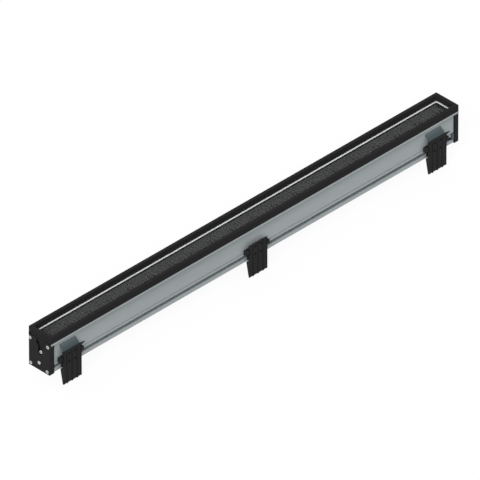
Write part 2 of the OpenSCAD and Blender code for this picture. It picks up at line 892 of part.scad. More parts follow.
module gland_seal() {
    len = gland_hex_t + gland_neck_len + (cap_out - cap_in) / 3;
    color([0.3, 0.3, 0.3]) translate([cap_out + gland_hex_t + gland_neck_len - len, 0, gland_z])
        rotate([0, 90, 0]) difference() {
            cylinder(r = gland_bore_r - pin_gap, h = len);
            translate([0, 0, -over]) cylinder(r = cable_r, h = len + 2 * over);
        }
}

// Plug that closes the -Y slot at its right end
module slot_stop() {
    mid_x = housing_end - stop_len / 2;
    color([0.25, 0.3, 0.31]) translate([mid_x, 0, 0]) along_x(stop_len) {
        translate([wall_y - stop_flange_t, slot_z - slot_mouth / 2])
            square([stop_flange_t, slot_mouth + stop_rise]);
        translate([wall_y - over / 2, slot_z - slot_mouth / 2 + slide_gap])
            square([slot_lip + over, slot_mouth - 2 * slide_gap]);
        translate([wall_y + slot_lip + slide_gap, slot_z - chamber_h / 2 + slide_gap])
            square([slot_depth - 2 * slide_gap, chamber_h - 2 * slide_gap]);
    }
}

// Clips, drawn with their middle at X = 0

module hinge_bore(len, r) {
    translate([0, pivot_y, pivot_z]) rotate([0, 90, 0]) cylinder(r = r, h = len, center = true);
}

// Shoe: a back plate on the wall, a neck in the slot's mouth and two ears for the pin.
module clip_shoe() {
    neck_in = wall_y + slot_lip - slide_gap;
    color(black_plastic) difference() {
        union() {
            along_x(2 * shoe_half) translate([shoe_front_y, shoe_foot_z])
                square([shoe_t, shoe_top_z - shoe_foot_z]);
            along_x(ear_span) translate([shoe_front_y, ear_low]) square([shoe_t, ear_h]);
            along_x(2 * neck_half)
                translate([shoe_front_y, slot_z - slot_mouth / 2 + run_gap])
                    square([neck_in - shoe_front_y, slot_mouth - 2 * run_gap]);
            for (side = [-1, 1]) translate([side * (ear_in + ear_span / 2) / 2, 0, 0])
                along_x(ear_span / 2 - ear_in) polygon([
                    [shoe_back_y, ear_low], [ear_front_y + ear_chamfer, ear_low],
                    [ear_front_y, ear_low + ear_chamfer], [ear_front_y, ear_low + ear_h],
                    [shoe_back_y, ear_low + ear_h]
                ]);
        }
        hinge_bore(ear_span - 2 * ear_skin, pin_r + pin_gap);
        for (side = [-1, 1])
            translate([side * hole_span_x / 2, shoe_front_y - over, clip_screw_z])
                rotate([-90, 0, 0])
                    cylinder(r = clip_screw_r + screw_gap, h = neck_in - shoe_front_y + 2 * over);
    }
}

module clip_nut() {
    front = wall_y + slot_lip + slide_gap;
    color(steel) difference() {
        along_x(2 * clip_nut_half) translate([front, slot_z - chamber_h / 2 + run_gap])
            square([clip_nut_t, chamber_h - 2 * run_gap]);
        for (side = [-1, 1])
            translate([side * hole_span_x / 2, front - over, clip_screw_z]) rotate([-90, 0, 0])
                cylinder(r = clip_screw_r + screw_gap, h = clip_nut_t + 2 * over);
    }
}

module clip_screws() {
    len = wall_y + slot_lip + slide_gap + clip_nut_t - shoe_front_y;
    color(leaf_steel) for (side = [-1, 1])
        translate([side * hole_span_x / 2, shoe_front_y, clip_screw_z]) rotate([90, 0, 0])
            screw(clip_head_r, clip_head_h, clip_screw_r, len, clip_screw_r);
}

module clip_pin() {
    color(steel) translate([0, pivot_y, pivot_z]) rotate([0, 90, 0])
        cylinder(r = pin_r, h = ear_span - 2 * ear_skin - 2 * slide_gap, center = true);
}

module lever_outline(top) {
    polygon([
        [lever_front_y, top], [lever_front_y, tail_z], [lever_front_y + tail_tip_t, tail_z],
        [heel_y, heel_z], [lever_back_y, knee_z], [lever_back_y, top]
    ]);
}

// Lever: a plate with upright ribs, a wedge-shaped tail and two barrels on the pin.
module clip_lever(top) {
    barrel_x = lever_w / 2 - barrel_len / 2;
    difference() {
        union() {
            along_x(lever_w) lever_outline(top);
            for (i = [-1, 0, 1]) translate([i * rib_pitch, 0, 0])
                along_x(rib_w) translate([lever_front_y - rib_h, tail_z - tooth_len])
                    square([rib_h + lever_t / 2, top - tail_z + tooth_len - rib_h]);
            for (side = [-1, 1]) translate([side * (lever_w / 2 - rib_w / 4), 0, 0])
                along_x(rib_w / 2) translate([lever_front_y - rib_h, tail_z])
                    square([rib_h + lever_t / 2, top - tail_z - rib_h]);
            for (side = [-1, 1]) translate([side * barrel_x, pivot_y, pivot_z])
                rotate([0, 90, 0]) cylinder(r = barrel_r, h = barrel_len, center = true);
            for (side = [-1, 1]) translate([side * barrel_x, 0, 0])
                along_x(barrel_len) translate([lever_back_y - lever_t / 2, pivot_z - barrel_r])
                    square([pivot_y - lever_back_y + lever_t / 2, 2 * barrel_r]);
        }
        hinge_bore(lever_w + 2 * over, pin_r + pin_gap);
        for (side = [-1, 1], z = [clip_screw_z, upper_hole_z])
            translate([side * hole_span_x / 2, lever_front_y - rib_h - over, z])
                rotate([-90, 0, 0]) cylinder(r = hole_r, h = lever_t + rib_h + 2 * over);
    }
}

// End levers also have a bead along the top, with a bore for the leaf's bar and a slit.
module end_lever() {
    reach = 4 * bead_r;
    color(black_plastic) difference() {
        union() {
            clip_lever(bar_z);
            translate([0, bar_y, bar_z]) rotate([0, 90, 0])
                cylinder(r = bead_r, h = lever_w, center = true);
        }
        translate([0, bar_y, bar_z]) rotate([0, 90, 0])
            cylinder(r = bar_r + pin_gap, h = lever_w + 2 * over, center = true);
        translate([0, bar_y, bar_z]) along_x(lever_w + 2 * over) polygon([
            [0, 0], [reach * sin(leaf_lean + leaf_play), reach * cos(leaf_lean + leaf_play)],
            [reach * sin(leaf_lean - leaf_sweep - leaf_play),
                reach * cos(leaf_lean - leaf_sweep - leaf_play)]
        ]);
    }
}

// Bar that turns in the bead and grips the leaf's foot; its +X end is a tapered spike.
module leaf_bar() {
    color(black_plastic) difference() {
        union() {
            translate([0, bar_y, bar_z]) rotate([0, 90, 0])
                cylinder(r = bar_r, h = lever_w, center = true);
            translate([lever_w / 2, bar_y, bar_z]) rotate([0, 90, 0])
                cylinder(r1 = bar_r, r2 = spike_tip_r, h = spike_len);
        }
        leaf_blank(pin_gap);
    }
}

// The leaf as a flat strip that leans from the bar to the wall, grown by a clearance.
module leaf_blank(grow) {
    translate([leaf_shift, bar_y, bar_z]) rotate([-leaf_lean, 0, 0])
        translate([-leaf_w / 2 - grow, -leaf_t / 2 - grow, -leaf_grip - grow])
            cube([leaf_w + 2 * grow, leaf_t + 2 * grow, leaf_len + leaf_grip + grow]);
}

module leaf() {
    color(leaf_steel) leaf_blank(0);
}

module at_clip(x) {
    translate([x, 0, 0]) children();
}

module clip_lever_middle() {
    color(black_plastic) clip_lever(bar_z);
}

housing();
cover_carrier();
rim_frame();
window_seal();
pane_gasket();
glass_pane();
glare_plate();
lenses();
leds();
led_board(0);  // led_board_1
led_board(1);  // led_board_2
led_board(2);  // led_board_3
led_board(3);  // led_board_4
thermal_pads();
board_screws();
board_links();
driver();
driver_screws();
terminal_block();
terminal_screws();
supply_wires();
led_wires();
end_cap_left();
end_cap_right();
cap_gasket_left();
cap_gasket_right();
cap_screws_left();
cap_screws_right();
recess_screw();
earth_screws();
rim_screws();
gland_body();
gland_nut();
gland_seal();
slot_stop();
at_clip(clip_left_x) clip_shoe();  // clip_shoe_left
clip_shoe();  // clip_shoe_middle
at_clip(clip_right_x) clip_shoe();  // clip_shoe_right
at_clip(clip_left_x) clip_nut();  // clip_nut_left
clip_nut();  // clip_nut_middle
at_clip(clip_right_x) clip_nut();  // clip_nut_right
at_clip(clip_left_x) clip_screws();  // clip_screws_left
clip_screws();  // clip_screws_middle
at_clip(clip_right_x) clip_screws();  // clip_screws_right
at_clip(clip_left_x) clip_pin();  // clip_pin_left
clip_pin();  // clip_pin_middle
at_clip(clip_right_x) clip_pin();  // clip_pin_right
at_clip(clip_left_x) end_lever();  // clip_lever_left
clip_lever_middle();
at_clip(clip_right_x) end_lever();  // clip_lever_right
at_clip(clip_left_x) leaf_bar();  // leaf_bar_left
at_clip(clip_right_x) leaf_bar();  // leaf_bar_right
at_clip(clip_left_x) leaf();  // leaf_left
at_clip(clip_right_x) leaf();  // leaf_right
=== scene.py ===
# %% [markdown]
# # A linear wall washer light, dressed for its portrait
# The solids of the light come from CAD and are already in the right place and the right size.
# Blender adds what CAD leaves out: soft edges, finishes, light and a camera.
# The steps are short, so that each one can be tried and changed by itself.

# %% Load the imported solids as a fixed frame
import json
import math

import bmesh
import bpy
from mathutils import Matrix, Vector


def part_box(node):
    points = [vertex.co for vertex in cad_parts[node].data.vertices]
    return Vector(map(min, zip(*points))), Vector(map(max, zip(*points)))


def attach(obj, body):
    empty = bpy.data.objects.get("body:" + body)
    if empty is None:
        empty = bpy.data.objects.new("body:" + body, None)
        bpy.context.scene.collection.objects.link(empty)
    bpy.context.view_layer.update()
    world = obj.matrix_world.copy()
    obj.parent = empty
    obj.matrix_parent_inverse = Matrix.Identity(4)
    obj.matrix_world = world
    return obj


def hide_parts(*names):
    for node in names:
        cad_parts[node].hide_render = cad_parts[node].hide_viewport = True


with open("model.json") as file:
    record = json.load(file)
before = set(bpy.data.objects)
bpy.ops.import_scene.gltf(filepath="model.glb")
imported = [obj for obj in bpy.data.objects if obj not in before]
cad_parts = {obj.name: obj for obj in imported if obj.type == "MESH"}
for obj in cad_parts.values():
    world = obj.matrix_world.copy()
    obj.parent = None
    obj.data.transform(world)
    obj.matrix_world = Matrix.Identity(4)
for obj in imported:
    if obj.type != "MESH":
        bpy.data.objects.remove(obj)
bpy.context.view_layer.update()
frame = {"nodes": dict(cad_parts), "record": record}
scene = bpy.context.scene
MM = 0.001

# %% [markdown]
# ## The camera
# A product portrait of a long, slim thing is taken from far away with a very long lens, so that
# the far end looks as tall as the near one. The camera looks down from the front left, by the
# same angle to all three edges of the light.

# %% Camera
AIM = Vector((-11.2, 1.5, 27.2)) * MM
TURN, RISE = math.radians(-44.9), math.radians(35.2)
DISTANCE = 38.24
LENS_LENGTH, FILM_WIDTH, FARTHEST = 1650.0, 36.0, 60.0

back = Vector((math.sin(TURN) * math.cos(RISE), -math.cos(TURN) * math.cos(RISE), math.sin(RISE)))
camera = bpy.data.objects.new("camera", bpy.data.cameras.new("camera"))
scene.collection.objects.link(camera)
camera.data.lens = LENS_LENGTH
camera.data.sensor_width = FILM_WIDTH
camera.data.clip_end = FARTHEST
camera.location = AIM + back * DISTANCE
camera.rotation_euler = (-back).to_track_quat("-Z", "Y").to_euler()
scene.camera = camera
scene.view_settings.view_transform = "Standard"
print("the picture is", round(FILM_WIDTH / LENS_LENGTH * DISTANCE / MM), "mm wide at the light")

# %% [markdown]
# ## A helper for node trees
# Materials, the world and Geometry Nodes are all node trees. One helper adds a node: what it is
# given is linked when it is another node's socket, and set as a value when it is a number.

# %% Node helper


def put(tree, kind, sockets=None, **settings):
    """Adds a node. Sockets are given by name or by number; settings are the node's own options."""
    node = tree.nodes.new(kind)
    for name, value in settings.items():
        setattr(node, name, value)
    for key, value in (sockets or {}).items():
        if isinstance(value, bpy.types.NodeSocket):
            tree.links.new(value, node.inputs[key])
        else:
            node.inputs[key].default_value = value
    return node


def math_node(tree, operation, a, b=0.0):
    """One sum of two numbers or sockets."""
    return put(tree, "ShaderNodeMath", {0: a, 1: b}, operation=operation).outputs[0]


def srgb(r, g, b):
    """A colour as a paint program writes it, 0 to 255, turned into the linear one nodes take."""
    return tuple(((c / 255 + 0.055) / 1.055) ** 2.4 for c in (r, g, b)) + (1.0,)


# %% [markdown]
# ## Light and floor
# The room is a plain white studio. What the camera, a mirror or a pane sees of it is pure white,
# but it lights the object less than that, so pale metal does not burn out. A wide, soft key sun
# stands a little to the left of the camera, so its shadows hide behind what casts them, and a weak
# one lights the far side. The floor glows like a light table, so the shadow that it keeps is faint.

# %% World, lamps and floor
SKY_LIGHT = 0.5
TABLE_SEEN, TABLE_LIGHT, TABLE_TONE = 0.9, 0.15, 0.12
FLOOR_Z, FLOOR_HALF = -34.0 * MM, 6.0
SUN_WIDTH = math.radians(40.0)


def seen_directly(tree):
    """1 for rays of the camera, of a reflection or through glass, and 0 for light that bounces."""
    rays = put(tree, "ShaderNodeLightPath").outputs
    seen = math_node(tree, "MAXIMUM", rays["Is Camera Ray"], rays["Is Glossy Ray"])
    return math_node(tree, "MAXIMUM", seen, rays["Is Transmission Ray"])


world = bpy.data.worlds.new("white studio")
scene.world = world
world.use_nodes = True
sky = world.node_tree
sky.nodes.clear()
sky_strength = put(sky, "ShaderNodeMapRange", {"Value": seen_directly(sky), "To Min": SKY_LIGHT})
backdrop = put(sky, "ShaderNodeBackground", {"Color": (1, 1, 1, 1), "Strength": sky_strength.outputs[0]})
put(sky, "ShaderNodeOutputWorld", {"Surface": backdrop.outputs[0]})

for name, strength, direction in (
    ("key_sun", 2.20, (-1.3, -0.9, 1.0)),
    ("fill_sun", 0.20, (0.6, 1.0, 0.9)),
):
    lamp = bpy.data.lights.new(name, "SUN")
    lamp.energy = strength
    lamp.angle = SUN_WIDTH
    sun = bpy.data.objects.new(name, lamp)
    sun.rotation_euler = Vector(direction).to_track_quat("Z", "Y").to_euler()
    scene.collection.objects.link(sun)

floor_mesh = bpy.data.meshes.new("floor")
floor_corners = [(x * FLOOR_HALF, y * FLOOR_HALF, FLOOR_Z) for x, y in ((-1, -1), (1, -1), (1, 1), (-1, 1))]
floor_mesh.from_pydata(floor_corners, [], [(0, 1, 2, 3)])
floor = bpy.data.objects.new("floor", floor_mesh)
scene.collection.objects.link(floor)
floor_finish = bpy.data.materials.new("pale floor")
floor_finish.use_nodes = True
pale = floor_finish.node_tree
pale.nodes.clear()
matt = put(pale, "ShaderNodeBsdfDiffuse", {"Color": (TABLE_TONE, TABLE_TONE, TABLE_TONE, 1)})
table_strength = put(pale, "ShaderNodeMapRange",
                     {"Value": seen_directly(pale), "To Min": TABLE_LIGHT, "To Max": TABLE_SEEN})
glow = put(pale, "ShaderNodeEmission", {"Strength": table_strength.outputs[0]})
both = put(pale, "ShaderNodeAddShader", {0: matt.outputs[0], 1: glow.outputs[0]})
put(pale, "ShaderNodeOutputMaterial", {"Surface": both.outputs[0]})
floor_mesh.materials.append(floor_finish)
print("floor at", FLOOR_Z / MM, "mm, under the tails of the clips")

# %% [markdown]
# ## How a finish is built
# Every finish starts from the same four things that a hand lens would show: a fine grain, a slow
# change of tone over the length of a hand, a roughness that follows the grain, and edges that
# are a little rounded and a little rubbed; on the black nylon the edge colour is painted shade
# instead of wear. Some finishes add painted shade in crevices, and painted light and shade that
# change with height. A pattern on Object coordinates keeps its scale in millimetres on every
# piece. `stretch` draws the grain out, as a die does along an extrusion.

# %% Finish helper
CLOUD_MM, CLOUD_STRETCH = 45.0, (0.4, 1, 1)


def pattern(tree, size_mm, stretch=(1, 1, 1), detail=3.0):
    """A noise whose spots are about size_mm wide."""
    place = put(tree, "ShaderNodeTexCoord").outputs["Object"]
    place = put(tree, "ShaderNodeMapping", {"Vector": place, "Scale": stretch}).outputs[0]
    sockets = {"Vector": place, "Scale": 1 / (size_mm * MM), "Detail": detail}
    return put(tree, "ShaderNodeTexNoise", sockets).outputs[0]


def spread(tree, source, low, high, start=0.35, stop=0.65):
    """The middle part of a noise, spread over the range from low to high."""
    sockets = {"Value": source, "From Min": start, "From Max": stop, "To Min": low, "To Max": high}
    return put(tree, "ShaderNodeMapRange", sockets).outputs[0]


def blend_colours(tree, share, first, second):
    """Share 0 gives the first colour, and share 1 the second."""
    return put(tree, "ShaderNodeMix", {0: share, 6: first, 7: second}, data_type="RGBA").outputs[2]


def worn_and_shaded_edges(tree, reach_mm):
    """1 along outer and inner edges, where the rounded normal leaves the flat one. It places edge wear, and
    on black nylon painted shade.
    """
    soft = put(tree, "ShaderNodeBevel", {"Radius": reach_mm * MM}, samples=4).outputs[0]
    flat = put(tree, "ShaderNodeNewGeometry").outputs["Normal"]
    meet = put(tree, "ShaderNodeVectorMath", {0: soft, 1: flat}, operation="DOT_PRODUCT").outputs["Value"]
    return spread(tree, meet, 1.0, 0.0, start=0.75, stop=0.97)


def painted_crevice_shade(tree, reach_mm):
    """Painted shade: 1 deep in a corner, a hole or beside a rib, where little light comes in, and 0 in the
    open.
    """
    open_share = put(tree, "ShaderNodeAmbientOcclusion", {"Distance": reach_mm * MM}, samples=6).outputs["AO"]
    return spread(tree, open_share, 1.0, 0.0, start=0.5, stop=0.95)


def climb(tree, low_mm, high_mm):
    """0 at a low height and 1 at a high one, slow at first. Above the high one it is 0 again."""
    place = put(tree, "ShaderNodeTexCoord").outputs["Object"]
    height = put(tree, "ShaderNodeSeparateXYZ", {0: place}).outputs["Z"]
    rise = spread(tree, height, 0.0, 1.0, start=low_mm * MM, stop=high_mm * MM)
    below = math_node(tree, "LESS_THAN", height, high_mm * MM)
    return math_node(tree, "MULTIPLY", math_node(tree, "POWER", rise, 3.0), below)


def make_finish(name, tone, second, grain_mm, rough, depth_mm, stretch=(1, 1, 1), edge_mm=0.3,
                edge_wear_and_shade=None, edge_wear_and_shade_mm=0.4, edge_wear_and_shade_share=(0.2, 0.8), painted_shade=None, painted_shade_mm=3.0, painted_light_by_height=None,
                **skin_values):
    """A material with grain, slow clouds of tone and soft edges. Edges get wear, and on black nylon painted
    shade; crevices get painted shade, and the tone may change with height as painted light and shade.
    """
    finish = bpy.data.materials.new(name)
    finish.use_nodes = True
    tree = finish.node_tree
    skin = tree.nodes["Principled BSDF"]
    grain = pattern(tree, grain_mm, stretch)
    cloud = pattern(tree, CLOUD_MM, CLOUD_STRETCH, detail=2.0)
    share = math_node(tree, "MULTIPLY", spread(tree, grain, 0.0, 1.0), spread(tree, cloud, 0.55, 1.0))
    colour = blend_colours(tree, share, tone, second)
    # Edge colour: wear on the metals, and on the black nylon painted shade along edges and rib sides.
    if edge_wear_and_shade:
        edge_wear_and_shade_mask = math_node(tree, "MULTIPLY", worn_and_shaded_edges(tree, edge_wear_and_shade_mm), spread(tree, cloud, *edge_wear_and_shade_share))
        colour = blend_colours(tree, edge_wear_and_shade_mask, colour, edge_wear_and_shade)
    # Painted light and shade: the tone changes with height, as light falls on the piece.
    if painted_light_by_height:
        colour = blend_colours(tree, climb(tree, *painted_light_by_height[1:]), colour, painted_light_by_height[0])
    # Painted shade in corners, holes and beside ribs, where little light comes in.
    if painted_shade:
        colour = blend_colours(tree, painted_crevice_shade(tree, painted_shade_mm), colour, painted_shade)
    tree.links.new(colour, skin.inputs["Base Color"])
    tree.links.new(spread(tree, grain, *rough), skin.inputs["Roughness"])
    sockets = {"Height": grain, "Distance": depth_mm * MM, "Strength": 1.0}
    if edge_mm:
        sockets["Normal"] = put(tree, "ShaderNodeBevel", {"Radius": edge_mm * MM}, samples=4).outputs[0]
    tree.links.new(put(tree, "ShaderNodeBump", sockets).outputs[0], skin.inputs["Normal"])
    for label, value in skin_values.items():
        skin.inputs[label.replace("_", " ")].default_value = value
    return finish


# %% [markdown]
# ## The finishes of this light
# Five finishes do most of the work: satin aluminium with draw lines, black anodised rim, black
# painted die castings, black moulded nylon, and dark spring steel. The rest belongs to the
# window and to the pieces inside. Names are the material slots of the part's record.

# %% Finishes
ALONG = (0.015, 1, 1)
finishes = {
    # The aluminium carries painted shade: it is darker in its crevices, and darker towards the top of the
    # wall, under the rim's overhang.
    "bare_aluminium": make_finish(
        "bare_aluminium", srgb(168, 175, 176), srgb(160, 168, 169), 0.5, (0.46, 0.56), 0.010, ALONG,
        edge_wear_and_shade=srgb(186, 192, 192), painted_shade=srgb(110, 118, 120), painted_light_by_height=(srgb(132, 140, 141), 26.0, 59.5),
        Metallic=0.25),
    "black_frame": make_finish(
        "black_frame", srgb(42, 42, 43), srgb(38, 38, 39), 0.35, (0.46, 0.56), 0.010, ALONG,
        edge_mm=0.4, edge_wear_and_shade=srgb(50, 50, 51), Specular_IOR_Level=0.02),
    # The dark crevice colour of the caps is painted shade, deepest in the recess and round the screw seats.
    "black_cap": make_finish(
        "black_cap", srgb(45, 45, 46), srgb(39, 39, 40), 0.6, (0.48, 0.60), 0.030,
        edge_mm=0.5, edge_wear_and_shade=srgb(54, 54, 55), painted_shade=srgb(5, 5, 6), painted_shade_mm=9.0, Specular_IOR_Level=0.03),
    # Both dark colours of the nylon are painted shade: along edges and rib sides, and in crevices.
    "black_plastic": make_finish(
        "black_plastic", srgb(49, 49, 50), srgb(43, 43, 44), 0.45, (0.46, 0.58), 0.025,
        edge_wear_and_shade=srgb(6, 6, 7), edge_wear_and_shade_mm=1.1, edge_wear_and_shade_share=(0.75, 1.0), painted_shade=srgb(5, 5, 6),
        Specular_IOR_Level=0.03),
    "black_rubber": make_finish(
        "black_rubber", srgb(30, 30, 30), srgb(24, 24, 24), 0.8, (0.70, 0.85), 0.020,
        Specular_IOR_Level=0.03),
    # The leaf carries painted light and shade: it is lighter towards its top, and darker in crevices near the
    # lever.
    "leaf_steel": make_finish(
        "leaf_steel", srgb(65, 76, 79), srgb(57, 68, 72), 0.4, (0.32, 0.44), 0.008, (1, 0.05, 0.05),
        edge_wear_and_shade=srgb(100, 110, 112), edge_wear_and_shade_mm=0.2, painted_shade=srgb(40, 47, 50), painted_shade_mm=6.0,
        painted_light_by_height=(srgb(103, 115, 118), 30.0, 54.0), Metallic=0.6),
    # The dark ring round each screw head is painted shade.
    "screw_steel": make_finish(
        "screw_steel", srgb(214, 215, 214), srgb(196, 198, 198), 0.3, (0.24, 0.36), 0.006,
        edge_mm=0.15, painted_shade=srgb(70, 72, 73), painted_shade_mm=1.5, Metallic=0.8),
    "white_seal": make_finish(
        "white_seal", srgb(250, 250, 249), srgb(240, 240, 239), 0.7, (0.55, 0.68), 0.006),
    # The grey tone of the clear pane is painted reflection: it stands in for the veil of the white room on
    # the glass.
    "clear_glass": make_finish(
        "clear_glass", srgb(84, 85, 86), srgb(80, 81, 82), 60.0, (0.10, 0.14), 0.0,
        edge_mm=0.0, Alpha=0.22, Specular_IOR_Level=0.06),
    "glare_plastic": make_finish(
        "glare_plastic", srgb(111, 110, 111), srgb(103, 102, 103), 0.4, (0.46, 0.58), 0.010,
        edge_mm=0.15, Specular_IOR_Level=0.1),
    # The clear lenses are drawn opaque and near black, as painted shade for the dark cells under the window.
    "lens_plastic": make_finish(
        "lens_plastic", srgb(14, 15, 16), srgb(10, 11, 12), 1.5, (0.24, 0.32), 0.0, edge_mm=0.0,
        Specular_IOR_Level=0.10),
    "led_yellow": make_finish(
        "led_yellow", srgb(226, 196, 84), srgb(210, 180, 70), 0.2, (0.30, 0.42), 0.004, edge_mm=0.0),
    "board_white": make_finish(
        "board_white", srgb(222, 225, 222), srgb(206, 210, 206), 0.5, (0.40, 0.55), 0.010),
    "pad_rubber": make_finish(
        "pad_rubber", srgb(140, 150, 165), srgb(126, 136, 152), 0.9, (0.60, 0.75), 0.020),
    "stop_plastic": make_finish(
        "stop_plastic", srgb(62, 74, 77), srgb(52, 63, 66), 0.45, (0.42, 0.56), 0.030),
    "ivory_plastic": make_finish(
        "ivory_plastic", srgb(226, 222, 205), srgb(212, 207, 188), 0.5, (0.42, 0.56), 0.015),
    "driver_case": make_finish(
        "driver_case", srgb(214, 214, 208), srgb(202, 202, 196), 0.5, (0.44, 0.58), 0.020),
    "wire_grey": make_finish(
        "wire_grey", srgb(105, 105, 107), srgb(92, 92, 94), 0.5, (0.44, 0.56), 0.006, edge_mm=0.0),
    "wire_red": make_finish(
        "wire_red", srgb(170, 40, 34), srgb(150, 33, 28), 0.5, (0.44, 0.56), 0.006, edge_mm=0.0),
}
print("finishes:", len(finishes))

# %% [markdown]
# ## Which finish and which body a piece belongs to
# The part's record says both. Reading them there keeps this script and the CAD source in step.

# %% Slots and bodies from the record
SHARP_ANGLE = math.radians(32.0)
slot_of = {row["node"]: row["material_slot"] for row in frame["record"]["subparts"]}
body_of = {
    node: body for body, members in frame["record"]["behaviour"]["bodies"].items() for node in members
}


def dress(piece, *nodes):
    """The finished piece takes the place, the motion and the finish slot of its CAD nodes."""
    piece.data.materials.clear()
    piece.data.materials.append(finishes[slot_of[nodes[0]]])
    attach(piece, body_of[nodes[0]])
    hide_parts(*nodes)
    return piece


def new_piece(name, shape):
    """Turns a bmesh into an object at the origin, with soft shading up to a real corner."""
    mesh = bpy.data.meshes.new(name)
    shape.to_mesh(mesh)
    shape.free()
    mesh.shade_smooth()
    mesh.set_sharp_from_angle(angle=SHARP_ANGLE)
    piece = bpy.data.objects.new(name, mesh)
    scene.collection.objects.link(piece)
    return piece


# %% [markdown]
# ## The rim: loops bridged into a ring
# The black rim is one profile that runs round the window. It could be a sweep along a path, but
# a sweep has trouble where a tight outer corner meets a wide inner one. So the ring is made of
# loops: each point of the profile becomes a rounded rectangle, and neighbours are bridged.
# The white seal inside the rim is made the same way, from its own small profile.

# %% Profiles and rings


def eased(corners, steps=3):
    """A closed outline with each corner (a, b, radius) replaced by a short curve."""
    points = []
    for i, (a, b, radius) in enumerate(corners):
        here = Vector((a, b))
        if not radius:
            points.append(here)
            continue
        before = Vector(corners[i - 1][:2])
        after = Vector(corners[(i + 1) % len(corners)][:2])
        start = here + (before - here).normalized() * radius
        end = here + (after - here).normalized() * radius
        for k in range(steps + 1):
            t = k / steps
            points.append(start * (1 - t) ** 2 + here * 2 * t * (1 - t) + end * t * t)
    return points


def rounded_loop(half_x, half_y, radius, z, steps=5):
    """A rounded rectangle at height z, as points that run anticlockwise seen from above."""
    points = []
    for turn, (sx, sy) in enumerate(((1, -1), (1, 1), (-1, 1), (-1, -1))):
        for i in range(steps + 1):
            angle = math.radians(90 * turn - 90 + 90 * i / steps)
            points.append(Vector((sx * (half_x - radius) + radius * math.cos(angle),
                                  sy * (half_y - radius) + radius * math.sin(angle), z)))
    return points


def bridge_loops(loops, closed):
    """Skins a row of loops with the same number of points. Closed joins the last to the first."""
    shape = bmesh.new()
    rows = [[shape.verts.new(Vector(p) * MM) for p in loop] for loop in loops]
    pairs = list(zip(rows, rows[1:] + rows[:1])) if closed else list(zip(rows, rows[1:]))
    for low, high in pairs:
        for i in range(len(low)):
            j = (i + 1) % len(low)
            shape.faces.new((low[i], low[j], high[j], high[i]))
    if not closed:
        shape.faces.new(rows[0][::-1])
        shape.faces.new(rows[-1])
    bmesh.ops.recalc_face_normals(shape, faces=shape.faces)
    return shape


def ring(name, half_x, half_y, section, outer_radius, inner_radius):
    """A frame round a window; the section is given as (distance inwards, height)."""
    wall = max(p[0] for p in section)
    loops = [
        rounded_loop(half_x - inset, half_y - inset,
                     outer_radius + (inner_radius - outer_radius) * inset / wall, z)
        for inset, z in section
    ]
    return new_piece(name, bridge_loops(loops, closed=True))


# %% Rim and seal
low, high = (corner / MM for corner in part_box("rim_frame"))
RIM_WALL, SEAL_STEP, SEAL_TOP = 6.7, 5.6, 64.6
rim_section = eased([
    (0.0, low.z, 0.25), (SEAL_STEP, low.z, 0.1), (SEAL_STEP, SEAL_TOP, 0.1), (RIM_WALL, SEAL_TOP, 0.1),
    (RIM_WALL, high.z, 0.5), (0.0, high.z, 0.7),
])
rim = dress(ring("rim", high.x, high.y, rim_section, 1.0, 3.0), "rim_frame")

SEAL_FOOT, SEAL_WIDTH = 63.9, 3.7
seal_section = eased([
    (0.0, SEAL_FOOT, 0.0), (SEAL_WIDTH, SEAL_FOOT, 0.0), (SEAL_WIDTH, SEAL_TOP - 0.05, 0.35),
    (0.0, SEAL_TOP - 0.05, 0.1),
])
seal = dress(
    ring("seal", high.x - SEAL_STEP - 0.1, high.y - SEAL_STEP - 0.1, seal_section, 2.0, 3.0), "window_seal"
)
print("rim faces:", len(rim.data.polygons), "seal faces:", len(seal.data.polygons))

# %% [markdown]
# ## Soft edges for moulded and cast pieces
# No cast, bent or moulded edge is perfectly sharp, and the thin highlight along it tells the eye
# how large the piece is. The CAD solid is copied, its loose triangles are merged back into flat
# faces, and only its longer corners are bevelled: a bevel on the tiny facets of a bore would fold.

# %% Bevelled copies of the castings and mouldings
CAST_EDGE, MOULD_EDGE, LONG_EDGE = 0.35, 0.2, 5
MERGE_MM, FLAT_ANGLE, CORNER_ANGLE = 0.002, math.radians(0.5), math.radians(35.0)


def flat_faced(node):
    """A copy of a CAD node's mesh with doubles merged and flat faces made whole."""
    shape = bmesh.new()
    shape.from_mesh(frame["nodes"][node].data)
    bmesh.ops.remove_doubles(shape, verts=shape.verts, dist=MERGE_MM * MM)
    bmesh.ops.dissolve_limit(shape, angle_limit=FLAT_ANGLE, verts=shape.verts, edges=shape.edges)
    return shape


def softened(name, node, width_mm):
    """A bevelled copy of a CAD node, finished as a plain mesh."""
    shape = flat_faced(node)
    weight = shape.edges.layers.float.new("bevel_weight_edge")
    for edge in shape.edges:
        long_enough = edge.calc_length() > LONG_EDGE * width_mm * MM
        if len(edge.link_faces) == 2 and long_enough and edge.calc_face_angle() > CORNER_ANGLE:
            edge[weight] = 1.0
    piece = new_piece(name, shape)
    bevel = piece.modifiers.new("edges", "BEVEL")
    bevel.limit_method = "WEIGHT"
    bevel.width = width_mm * MM
    bevel.segments = 2
    bevel.use_clamp_overlap = False
    even = piece.modifiers.new("even", "WEIGHTED_NORMAL")
    even.keep_sharp = True
    graph = bpy.context.evaluated_depsgraph_get()
    finished = bpy.data.meshes.new_from_object(piece.evaluated_get(graph))
    piece.modifiers.clear()
    piece.data = finished
    return dress(piece, node)


for side in ("left", "right"):
    softened(f"cap_{side}", f"end_cap_{side}", CAST_EDGE)
for place in ("left", "middle", "right"):
    softened(f"lever_{place}", f"clip_lever_{place}", MOULD_EDGE)
    softened(f"shoe_{place}", f"clip_shoe_{place}", MOULD_EDGE)
stop = softened("stop", "slot_stop", MOULD_EDGE)
print("the slot stop alone has", len(stop.data.polygons), "faces")

